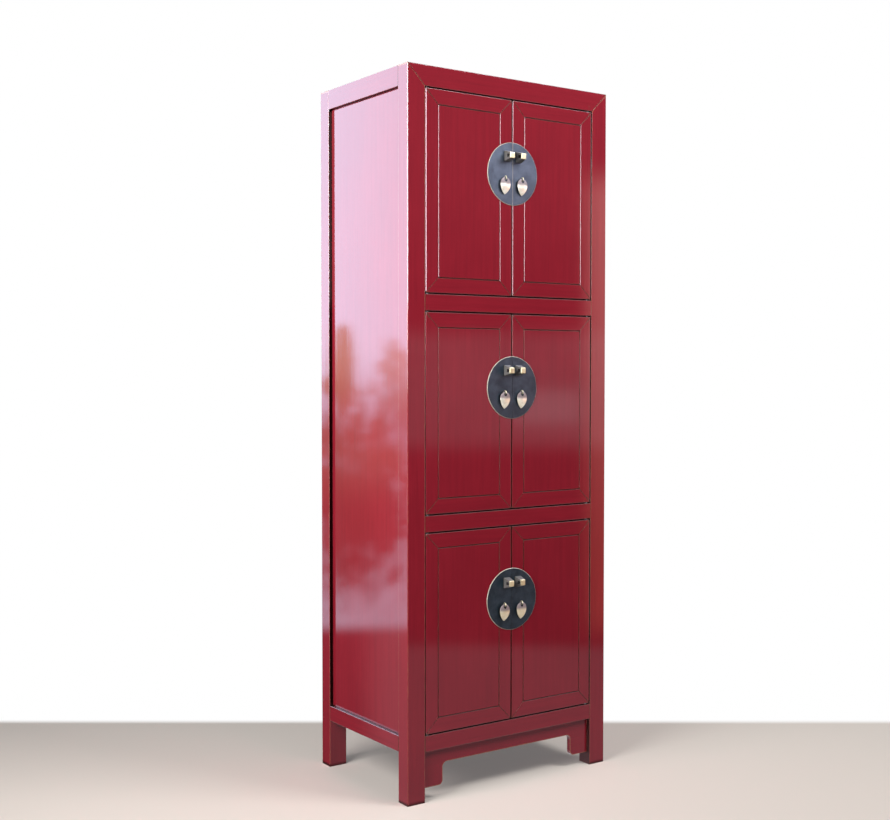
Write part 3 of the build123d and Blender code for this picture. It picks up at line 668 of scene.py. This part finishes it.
def wrapped(tree, mesh, x, y, z, age_and_shade):
    """The grid carried to its place, closed where its edges meet, with its age and painted shade
    stored.
    """
    moved = node(tree, "GeometryNodeSetPosition",
                 {"Geometry": with_age_and_shade(tree, mesh, age_and_shade), "Position": joined(tree, x, y, z)})
    closed = node(tree, "GeometryNodeMergeByDistance",
                  {"Geometry": moved.outputs[0], "Distance": MERGE_DISTANCE})
    return node(tree, "GeometryNodeSetShadeSmooth", {"Geometry": closed.outputs[0]}).outputs[0]


def ended(tree, given, parts, place):
    """Joins the parts, carries them to their place and gives them their material."""
    join = tree.nodes.new("GeometryNodeJoinGeometry")
    for part in parts:
        tree.links.new(part, join.inputs[0])
    carried = node(tree, "GeometryNodeTransform", {"Geometry": join.outputs[0], "Translation": place})
    real = node(tree, "GeometryNodeRealizeInstances", {"Geometry": carried.outputs[0]})
    painted = node(tree, "GeometryNodeSetMaterial",
                   {"Geometry": real.outputs[0], "Material": given.outputs["Material"]})
    made = tree.nodes.new("NodeGroupOutput")
    tree.links.new(painted.outputs[0], made.inputs[0])


def leaf_reach(size, to_side, upward):
    """How far the rim is from the middle of the hole: a half circle on top, two arcs below."""
    half_width = size["Half Width"]
    over_widest = (size["Top"] - half_width) * -1.0 - size["Hole Drop"]
    lower = size["Length"] - half_width
    side_radius = (lower * lower + half_width * half_width) / (half_width * 2.0)
    fall = over_widest * upward
    to_top = (fall * fall + half_width * half_width - over_widest * over_widest).root() - fall
    inset = side_radius - half_width
    toward = inset * to_side.size() * -1.0 - fall
    to_arc = toward + (toward * toward - inset * inset - over_widest * over_widest
                       + side_radius * side_radius).root()
    return choose((over_widest + to_top * upward) > 0.0, to_top, to_arc)


def leaf_tree():
    """A domed leaf round its hole: a section from the hole to the rim and back, taken all round."""
    sizes = {"Place": (0.0, 0.0, 0.0), "Half Width": LEAF_HALF_WIDTH, "Length": LEAF_LENGTH,
             "Top": LEAF_TOP, "Hole Radius": LEAF_HOLE_RADIUS, "Hole Drop": LEAF_HOLE_DROP,
             "Dome Radius": LEAF_DOME_RADIUS, "Thickness": LEAF_THICKNESS, "Lean": 0.0}
    tree, given, size = shape_tree("domed_leaf", sizes)
    mesh, around, along = sheet_of_cells(tree, *LEAF_CELLS)
    half_thick = size["Thickness"] * 0.5
    angle = around * TAU - TAU / 4
    to_side, upward = angle.cos(), angle.sin()
    outward = along.between(*LEAF_FRONT) - along.between(*LEAF_BACK)
    turn = (along.between(*LEAF_RIM) - along.between(*LEAF_HOLE)) * (TAU / 2)
    from_hole = (choose(outward, leaf_reach(size, to_side, upward) - half_thick,
                        size["Hole Radius"] + half_thick)
                 + half_thick * turn.sin() * (outward * 2.0 - 1.0))
    x = to_side * from_hole
    z = upward * from_hole - size["Hole Drop"]
    middle = size["Top"] - size["Length"] * 0.5
    dome = size["Dome Radius"]
    shell = dome + turn.cos() * half_thick
    place = node(tree, "GeometryNodeInputPosition").outputs[0]
    beaten = (noise(tree, place, 5.0, 1.0) - 0.5) * LEAF_BEATING
    y = ((dome * dome - middle * middle).root() + beaten
         - (shell * shell - x * x - (z - middle) * (z - middle)).root())
    # the brown top as tarnish and painted shade, and black painted shade round the hole
    brown = z.between(*LEAF_TARNISH_AND_SHADE_HEIGHT, smooth=True)
    age_and_shade = brown.at_least((1.0 - from_hole.between(*LEAF_HOLE_SHADE_REACH)) * HOLE_SHADE_AGE)
    lean = size["Lean"]
    leaf = wrapped(tree, mesh, x, y * lean.cos() - z * lean.sin(), y * lean.sin() + z * lean.cos(),
                   age_and_shade)
    ended(tree, given, [leaf], size["Place"])
    return tree


def eye_reach(tree, size, back, upward):
    """How far the rim of the eye is from the middle of its hole: nose, slopes and base."""
    setback, projection = size["Hole Setback"], size["Projection"]
    nose, base = size["Nose Height"] * 0.5, size["Base Height"] * 0.5
    slope = (base - nose) / projection
    steepness = (slope * slope + 1.0).root()
    level = (nose + slope * setback) / steepness
    to_slope = level / ((upward.size() - slope * back) / steepness).at_least(0.0001)
    to_nose = setback / (back * -1.0).at_least(0.0001)
    to_base = (projection - setback) / back.at_least(0.0001)
    return calc(tree, "SMOOTH_MIN", to_slope, to_nose, EYE_CORNER_ROUND).at_most(to_base)


def lock_eye_part(tree, size):
    """A tapered eye round its hole, with softened edges."""
    mesh, around, along = sheet_of_cells(tree, *EYE_CELLS)
    width, edge, projection = size["Eye Width"], size["Edge Round"], size["Projection"]
    angle = around * TAU + TAU / 8
    back, upward = angle.cos(), angle.sin()
    face = along.between(*EYE_FACE_OUT) - along.between(*EYE_FACE_BACK)
    first = along.between(*EYE_EDGE_OUT) * (TAU / 4)
    second = along.between(*EYE_EDGE_BACK) * (TAU / 4)
    x = (width * -0.5 + edge * (1.0 - first.cos()) + (width - edge * 2.0) * along.between(*EYE_ACROSS)
         + edge * second.sin() - width * along.between(*EYE_HOLE))
    rim = (eye_reach(tree, size, back, upward) - edge + edge * first.sin()
           - edge * (1.0 - second.cos()))
    from_hole = choose(face, rim, size["Eye Hole Radius"])
    y = back * from_hole - (projection - size["Hole Setback"])
    z = upward * from_hole
    share = (y * -1.0 / projection).between(0.0, 1.0)
    x = x * choose(share, 1.0, size["Eye Base Width"] / width)
    bright = (y * -1.0 - projection).between(*EYE_BRIGHT_NOSE) * face.at_most(1.0)
    # black painted shade in and round the hole
    near_hole = 1.0 - along.between(*EYE_HOLE_SHADE_OUT) + along.between(*EYE_HOLE_SHADE_BACK)
    black = (1.0 - face.between(*EYE_HOLE_SHADE_REACH)) * near_hole
    age_and_shade = (1.0 - bright).at_least(black * HOLE_SHADE_AGE)
    eye_x, eye_y, eye_z = split(tree, size["Eye Place"].socket)
    return wrapped(tree, mesh, x + eye_x, y + eye_y, z + eye_z, age_and_shade)


def ring_part(tree, size):
    """The ring of the split pin."""
    circle = node(tree, "GeometryNodeCurvePrimitiveCircle",
                  {"Resolution": 48, "Radius": size["Ring Radius"]})
    wire = node(tree, "GeometryNodeCurvePrimitiveCircle",
                {"Resolution": 20, "Radius": size["Ring Wire"]})
    tube = node(tree, "GeometryNodeCurveToMesh",
                {"Curve": circle.outputs["Curve"], "Profile Curve": wire.outputs["Curve"]})
    turned = node(tree, "GeometryNodeTransform",
                  {"Geometry": with_age_and_shade(tree, tube.outputs[0], RING_AGE),
                   "Translation": size["Ring Place"], "Rotation": (0.0, TAU / 4, 0.0)})
    return node(tree, "GeometryNodeSetShadeSmooth", {"Geometry": turned.outputs[0]}).outputs[0]


def bar_part(tree, low, high):
    """A plain bar between two corners, each an (x, y, z) of terms."""
    cube = node(tree, "GeometryNodeMeshCube",
                {"Size": joined(tree, *[b - a for a, b in zip(low, high)])})
    middle = joined(tree, *[(a + b) * 0.5 for a, b in zip(low, high)])
    return node(tree, "GeometryNodeTransform",
                {"Geometry": with_age_and_shade(tree, cube.outputs[0], CLENCH_AGE),
                 "Translation": middle}).outputs[0]


def clench_parts(tree, size, place, start):
    """A shank through the door, and its halves, bent up and down flat on the back."""
    x, _, z = split(tree, place)
    width, thickness, back = size["Clench Width"], size["Clench Thickness"], size["Door Back"]
    half = width * 0.5
    parts = [bar_part(tree, (x - half, start, z - thickness), (x + half, back, z + thickness))]
    bulge = back + thickness * CLENCH_BULGE
    for way in (-1.0, 1.0):
        line = node(tree, "GeometryNodeCurvePrimitiveBezierSegment",
                    {"Resolution": 14,
                     "Start": joined(tree, x, back - CLENCH_SINK, z + way * CLENCH_PARTING),
                     "Start Handle": joined(tree, x, bulge, z + way * CLENCH_BEND),
                     "End Handle": joined(tree, x, bulge, z + way * CLENCH_SWEEP),
                     "End": joined(tree, x, back + thickness * 0.5, z + size["Clench Length"] * way)},
                    mode="POSITION")
        section = node(tree, "GeometryNodeCurvePrimitiveQuadrilateral",
                       {"Width": thickness * CLENCH_SLIMNESS, "Height": width * CLENCH_SLIMNESS},
                       mode="RECTANGLE")
        leg = node(tree, "GeometryNodeCurveToMesh",
                   {"Curve": line.outputs[0], "Profile Curve": section.outputs[0], "Fill Caps": True})
        parts.append(with_age_and_shade(tree, leg.outputs[0], CLENCH_AGE))
    return parts


def fittings_tree():
    """What is fixed to one door: the lock eye and the split pin of the pull."""
    sizes = {"Eye Place": (0.0, 0.0, 0.0), "Ring Place": (0.0, 0.0, 0.0), "Door Back": 0.0,
             "Eye Width": EYE_WIDTH, "Eye Base Width": EYE_BASE_WIDTH, "Projection": EYE_PROJECTION,
             "Base Height": EYE_BASE_HEIGHT, "Nose Height": EYE_NOSE_HEIGHT,
             "Eye Hole Radius": EYE_HOLE_RADIUS, "Hole Setback": EYE_HOLE_SETBACK,
             "Edge Round": EYE_EDGE_ROUND,
             "Ring Radius": RING_RADIUS, "Ring Wire": RING_WIRE, "Clench Length": CLENCH_LENGTH,
             "Clench Width": CLENCH_WIDTH, "Clench Thickness": CLENCH_THICKNESS}
    tree, given, size = shape_tree("door_fittings", sizes)
    eye_y = split(tree, size["Eye Place"].socket)[1]
    ring_y = split(tree, size["Ring Place"].socket)[1]
    parts = [lock_eye_part(tree, size), ring_part(tree, size)]
    parts += clench_parts(tree, size, size["Eye Place"].socket, eye_y)
    parts += clench_parts(tree, size, size["Ring Place"].socket, ring_y + size["Ring Radius"])
    ended(tree, given, parts, (0.0, 0.0, 0.0))
    return tree


def made_by(tree, name, sizes, material):
    """A plain mesh object that a geometry tree makes with the given sizes."""
    maker = bpy.data.objects.new(name + "_maker", bpy.data.meshes.new(name + "_maker"))
    bpy.context.scene.collection.objects.link(maker)
    modifier = maker.modifiers.new("shape", "NODES")
    modifier.node_group = tree
    sockets = {item.name: item.identifier for item in tree.interface.items_tree
               if item.item_type == "SOCKET" and item.in_out == "INPUT"}
    for label, value in sizes.items():
        modifier[sockets[label]] = value
    modifier[sockets["Material"]] = material
    maker.update_tag()
    bpy.context.view_layer.update()
    shape = maker.evaluated_get(bpy.context.evaluated_depsgraph_get())
    mesh = bpy.data.meshes.new_from_object(shape)
    mesh.name = name
    maker.modifiers.remove(modifier)
    bpy.data.objects.remove(maker)
    piece = bpy.data.objects.new(name, mesh)
    bpy.context.scene.collection.objects.link(piece)
    return piece


def leaf_lean():
    """How far the leaf leans back before its tip meets the plate."""
    inner = LEAF_DOME_RADIUS - LEAF_THICKNESS / 2
    middle_drop = LEAF_LENGTH / 2 - LEAF_TOP
    dome_depth = math.sqrt(LEAF_DOME_RADIUS ** 2 - middle_drop ** 2)
    tip_behind = dome_depth - math.sqrt(inner ** 2 - (LEAF_LENGTH / 2) ** 2)
    return math.asin((RING_STANDOFF - tip_behind - LEAF_REST_GAP) / (LEAF_LENGTH - LEAF_TOP))


def make_fittings():
    leaf_rule = leaf_tree()
    fittings_rule = fittings_tree()
    for tier in TIERS:
        for side, outward in SIDES.items():
            ring = joint_place(f"{tier}_{side}_pull_swing")
            pull_node = f"{tier}_{side}_pull"
            leaf = made_by(leaf_rule, f"{tier}_{side}_leaf", {"Place": ring, "Lean": leaf_lean()},
                           leaf_brass)
            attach(leaf, f"{tier}_{side}_pull_leaf")
            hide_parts(pull_node)
            fittings_node = f"{tier}_{side}_fittings"
            eye_place = (outward * EYE_SPREAD, plate_front(tier), plate_middle(tier) + EYE_RISE)
            door_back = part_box(f"{tier}_{side}_lock_stile")[1][1]
            brass = made_by(fittings_rule, f"{tier}_{side}_brass",
                            {"Eye Place": eye_place, "Ring Place": ring, "Door Back": door_back},
                            eye_brass)
            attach(brass, f"{tier}_{side}_door")
            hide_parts(fittings_node)


# ------------------------------------------------------------ camera, floor and light
def set_camera():
    yaw, pitch, roll = (math.radians(a) for a in (CAMERA_YAW, CAMERA_PITCH, CAMERA_ROLL))
    forward = Vector((math.sin(yaw) * math.cos(pitch), math.cos(yaw) * math.cos(pitch),
                      math.sin(pitch)))
    right = Vector((math.cos(yaw), -math.sin(yaw), 0))
    up = right.cross(forward)
    rolled_right = right * math.cos(roll) + up * math.sin(roll)
    rolled_up = up * math.cos(roll) - right * math.sin(roll)
    data = bpy.data.cameras.new("camera")
    data.sensor_width = SENSOR_WIDTH
    data.lens = FOCAL_PIXELS * SENSOR_WIDTH / PICTURE_WIDTH
    camera = bpy.data.objects.new("camera", data)
    turn = Matrix((rolled_right, rolled_up, -forward)).transposed().to_4x4()
    camera.matrix_world = Matrix.Translation(CAMERA_PLACE) @ turn
    bpy.context.scene.collection.objects.link(camera)
    bpy.context.scene.camera = camera


WHITE = (1.0, 1.0, 1.0, 1.0)
FLOOR_RADIUS = 9.0
FLOOR_COLOR = linear(205, 196, 187)
FLOOR_GLOW = 0.13                       # share of white that shows on it, also in the shadow
FLOOR_BOUNCE = (0.32, 0.30, 0.29, 1.0)  # its colour for the light that it throws on the cabinet
WALL_DISTANCE = 0.378                   # from the middle back to the line where it goes white
WALL_BLUR = 0.03


def lay_floor():
    """A round pale floor that goes white behind the cabinet, along a line across the view."""
    steps = 96
    turns = [TAU * step / steps for step in range(steps)]
    rim = [(FLOOR_RADIUS * math.cos(turn), FLOOR_RADIUS * math.sin(turn), 0.0) for turn in turns]
    mesh = bpy.data.meshes.new("floor")
    mesh.from_pydata(rim, [], [list(range(steps))])
    floor = bpy.data.objects.new("floor", mesh)
    bpy.context.scene.collection.objects.link(floor)
    floor.visible_glossy = False
    material = bpy.data.materials.new("pale_floor")
    material.use_nodes = True
    tree = material.node_tree
    tree.nodes.remove(tree.nodes["Principled BSDF"])
    x, y, _ = split(tree, own_place(tree))
    yaw = math.radians(CAMERA_YAW)
    behind = x * math.sin(yaw) + y * math.cos(yaw)
    path = node(tree, "ShaderNodeLightPath")
    color = blend(tree, path.outputs["Is Camera Ray"], FLOOR_BOUNCE, FLOOR_COLOR)
    matt = node(tree, "ShaderNodeBsdfDiffuse", {"Color": color})
    white = node(tree, "ShaderNodeEmission", {"Color": WHITE, "Strength": 1.0})
    wall = behind.between(WALL_DISTANCE - WALL_BLUR, WALL_DISTANCE + WALL_BLUR, smooth=True)
    seen = Term(tree, path.outputs["Is Camera Ray"]) * wall.at_least(FLOOR_GLOW)
    faded = node(tree, "ShaderNodeMixShader", {0: seen, 1: matt.outputs[0], 2: white.outputs[0]})
    tree.links.new(faded.outputs[0], tree.nodes["Material Output"].inputs["Surface"])
    mesh.materials.append(material)


# The room that lacquer and metal mirror. Directions are in degrees: yaw from +Y towards +X, and
# rise from level. A part of the room is given as its range of yaw and its range of rise.
GARDEN_WINDOW = (-62, -14)              # its range of yaw
WINDOW_SILL = -11.5
WINDOW_TOP = 60
ALL_DOWN, ALL_UP = -90, 90
DAY_WINDOWS = ((-177, -100), (3.0, 24))
NEAR_WINDOW = ((-100, -64), (1.0, 60))
NEAR_WALL = ((-66, 118), (-11, 34))
FAR_WINDOWS = ((118, 180), (-3.4, 1.7))
FAR_CORNER = ((139, 142.2), (-2.4, -0.9))
DOORWAY = ((104, 138.8), (-11.6, 8.5))
CEILING = ((95, 181), (18, 60))

# Rises at which the light of the room changes, each with its blur.
WINDOW_SHINE = (-1.0, 2.2)
FRONT_FLOOR = (-12.3, 0.35)
STEEP_FLOOR = (-21.0, 3.0)
UNDERFOOT = (-42.0, 8.0)
UPPER_WALLS = (6.0, 4.0)

# The palm, with its crown and leaves by their middles and radii: across in shares of its half
# width, and rise.
PALM_YAW = -31.2
PALM_HALF_WIDTH = 1.9
PLANTER_RISE = -12.0
PALM_CROWN = (-0.20, -5.9), (1.45, 4.0)
PALM_HIGH_LEAF = (-0.52, -0.1), (0.30, 2.2)
PALM_LOW_LEAF = (0.74, -1.2), (0.45, 2.2)
PALM_BLUR = 0.13                        # of its borders, in shares of its radii
FROND_GAPS = (0.50, 0.66)               # noise values that open gaps between its fronds

# Radiances in red, green and blue.
ROOM_GLOW = (1.0, 1.0, 1.08)
SKY_GLOW = (5.1, 6.2, 8.0)
PALM_GLOW = (3.6, 3.0, 1.9)
DAY_GLOW = (19.0, 21.0, 24.0)
CEILING_GLOW = (8.8, 9.6, 12.6)
DOORWAY_GLOW = (1.6, 0.35, 0.2)
DOORWAY_WARMTH = (1.5, 1.25, 1.25)      # added to the doorway towards its top
EVEN_LIGHT = 0.12


def above(value, limit, blur):
    """0 well below a limit, 1 well above it."""
    return value.between(limit - blur, limit + blur, smooth=True)


def patch(view, ranges, yaw_blur, rise_blur):
    """1 inside a part of the room, given as its ranges of yaw and rise, and 0 beyond its blurred
    borders."""
    yaw, rise = view
    yaw_range, rise_range = ranges
    return (above(yaw, yaw_range[0], yaw_blur) * (1.0 - above(yaw, yaw_range[1], yaw_blur))
            * above(rise, rise_range[0], rise_blur) * (1.0 - above(rise, rise_range[1], rise_blur)))


def oval(across, rise, middle, radii, ragged):
    """1 inside an oval with ragged borders."""
    a = (across - middle[0]) / radii[0]
    b = (rise - middle[1]) / radii[1]
    return 1.0 - above((a * a + b * b).root() + ragged, 1.0, PALM_BLUR)


def potted_palm(tree, across, rise):
    """How much of the garden window a palm covers: its crown, and a leaf up on either side."""
    over_planter = rise - PLANTER_RISE
    fan = calc(tree, "ARCTAN2", across * PALM_HALF_WIDTH, over_planter)
    length = (across * across * PALM_HALF_WIDTH ** 2 + over_planter * over_planter).root()
    fronds = noise(tree, joined(tree, fan * 24.0, length * 0.8, 0.0), 1.0, 4.0, 0.6, 0.7)
    ragged = (fronds - 0.5) * 3.2
    gaps = fronds.between(*FROND_GAPS) * above(rise, -4.4, 1.4) * 0.6
    crown = oval(across, rise, *PALM_CROWN, ragged) * (1.0 - gaps)
    high_leaf = oval(across, rise, *PALM_HIGH_LEAF, ragged * 0.35)
    low_leaf = oval(across, rise, *PALM_LOW_LEAF, ragged) * (0.75 - gaps)
    return crown.at_least(high_leaf).at_least(low_leaf)


def unlit_room(tree, view, across):
    """The walls, the far windows and the floor before each side of the cabinet."""
    yaw, rise = view
    before_window = 1.0 - patch(view, (GARDEN_WINDOW, (ALL_DOWN, WINDOW_TOP)), 4, 1)
    near_wall = patch(view, NEAR_WALL, 8, 5) * before_window
    streaky = noise(tree, joined(tree, yaw * 0.25, rise, 0.0), 1.2, 3.0, 0.6)
    far_windows = patch(view, FAR_WINDOWS, 3, 0.6) * (0.35 + streaky * 0.35)
    far_glow = patch(view, FAR_CORNER, 0.6, 0.5) * 0.8
    front_floor = ((1.0 - above(rise, *FRONT_FLOOR))
                   * (1.0 - patch(view, (GARDEN_WINDOW, (ALL_DOWN, ALL_UP)), 4, 1)))
    steep_floor = (1.0 - above(rise, *STEEP_FLOOR)) * (0.5 + above(rise, *UNDERFOOT) * 0.5)
    left_floor = (patch(view, (GARDEN_WINDOW, (ALL_DOWN, WINDOW_SILL)), 4, 0.35)
                  * (0.04 + above(across, 0.15, 0.5) * 0.32))
    dim = 0.05 + above(rise, *UPPER_WALLS) * 0.09
    return (dim + near_wall * 2.0 + far_windows + far_glow + front_floor * 0.42
            + steep_floor * 0.7 + left_floor)


def mirrored_room(tree):
    """A garden window with a palm before it, daylight from the left and front, a sunny doorway and
    the dimmer rest: radiance by direction, as three terms."""
    x, y, z = split(tree, node(tree, "ShaderNodeTexCoord").outputs["Generated"])
    yaw = calc(tree, "ARCTAN2", x, y) * (360 / TAU)
    rise = calc(tree, "ARCSINE", z) * (360 / TAU)
    view = yaw, rise
    across = (PALM_YAW - yaw) / PALM_HALF_WIDTH
    palm = potted_palm(tree, across, rise)
    shine = above(rise, *WINDOW_SHINE)
    window = patch(view, (GARDEN_WINDOW, (WINDOW_SILL, WINDOW_TOP)), 4, 0.35) * (0.36 + shine * 0.64)
    sky = window * (1.0 - palm)
    leaves = window * palm * (0.14 + above(rise, -5.0, 1.6) * 0.36 + shine * 0.15)
    daylight = patch(view, DAY_WINDOWS, 3, 0.35).at_least(patch(view, NEAR_WINDOW, 3, 1.5))
    ceiling = patch(view, CEILING, 8, 3)
    doorway = patch(view, DOORWAY, 0.45, 0.9)
    glowing = ((unlit_room(tree, view, across), ROOM_GLOW), (sky, SKY_GLOW), (leaves, PALM_GLOW),
               (daylight, DAY_GLOW), (ceiling, CEILING_GLOW), (doorway, DOORWAY_GLOW),
               (doorway * above(rise, -1.0, 9.0), DOORWAY_WARMTH))
    return [sum(part * glow[channel] for part, glow in glowing) for channel in range(3)]


def room_light():
    """White all round for the eye, an even soft light for matt things, and a room to mirror."""
    world = bpy.data.worlds.new("studio")
    bpy.context.scene.world = world
    world.use_nodes = True
    tree = world.node_tree
    mirrored = node(tree, "ShaderNodeBackground", {"Color": joined(tree, *mirrored_room(tree))})
    even = node(tree, "ShaderNodeBackground", {"Color": WHITE, "Strength": EVEN_LIGHT})
    white = node(tree, "ShaderNodeBackground", {"Color": WHITE, "Strength": 1.0})
    path = node(tree, "ShaderNodeLightPath")
    lighting = node(tree, "ShaderNodeMixShader",
                    {0: path.outputs["Is Glossy Ray"], 1: even.outputs[0], 2: mirrored.outputs[0]})
    clear = (Term(tree, path.outputs["Is Camera Ray"])
             + Term(tree, path.outputs["Is Transmission Ray"])).at_most(1.0)
    shown = node(tree, "ShaderNodeMixShader", {0: clear, 1: lighting.outputs[0], 2: white.outputs[0]})
    tree.links.new(shown.outputs[0], tree.nodes["World Output"].inputs["Surface"])


def softbox(name, place, aim, size, power, spread=180):
    """A square lamp aimed at a point, with its light kept within an angle in degrees."""
    data = bpy.data.lights.new(name, "AREA")
    data.shape = "RECTANGLE"
    data.size, data.size_y = size
    data.energy = power
    data.spread = math.radians(spread)
    lamp = bpy.data.objects.new(name, data)
    lamp.location = place
    lamp.rotation_euler = (Vector(aim) - Vector(place)).to_track_quat("-Z", "Y").to_euler()
    lamp.visible_camera = False
    bpy.context.scene.collection.objects.link(lamp)


def set_lamps():
    softbox("key_softbox", (1.0, -1.75, 2.85), (0.25, -0.2, 1.4), (1.0, 1.0), 59.0)
    softbox("side_softbox", (-1.9, -0.5, 1.5), (-0.3, 0.0, 0.95), (1.2, 1.2), 34.0, 130)
    softbox("top_softbox", (0.6, -0.5, 3.8), (0.3, -0.5, 0.0), (2.4, 2.4), 24.0)


finish_wood()
make_fittings()
set_camera()
lay_floor()
room_light()
set_lamps()
bpy.context.scene.view_settings.view_transform = "Standard"
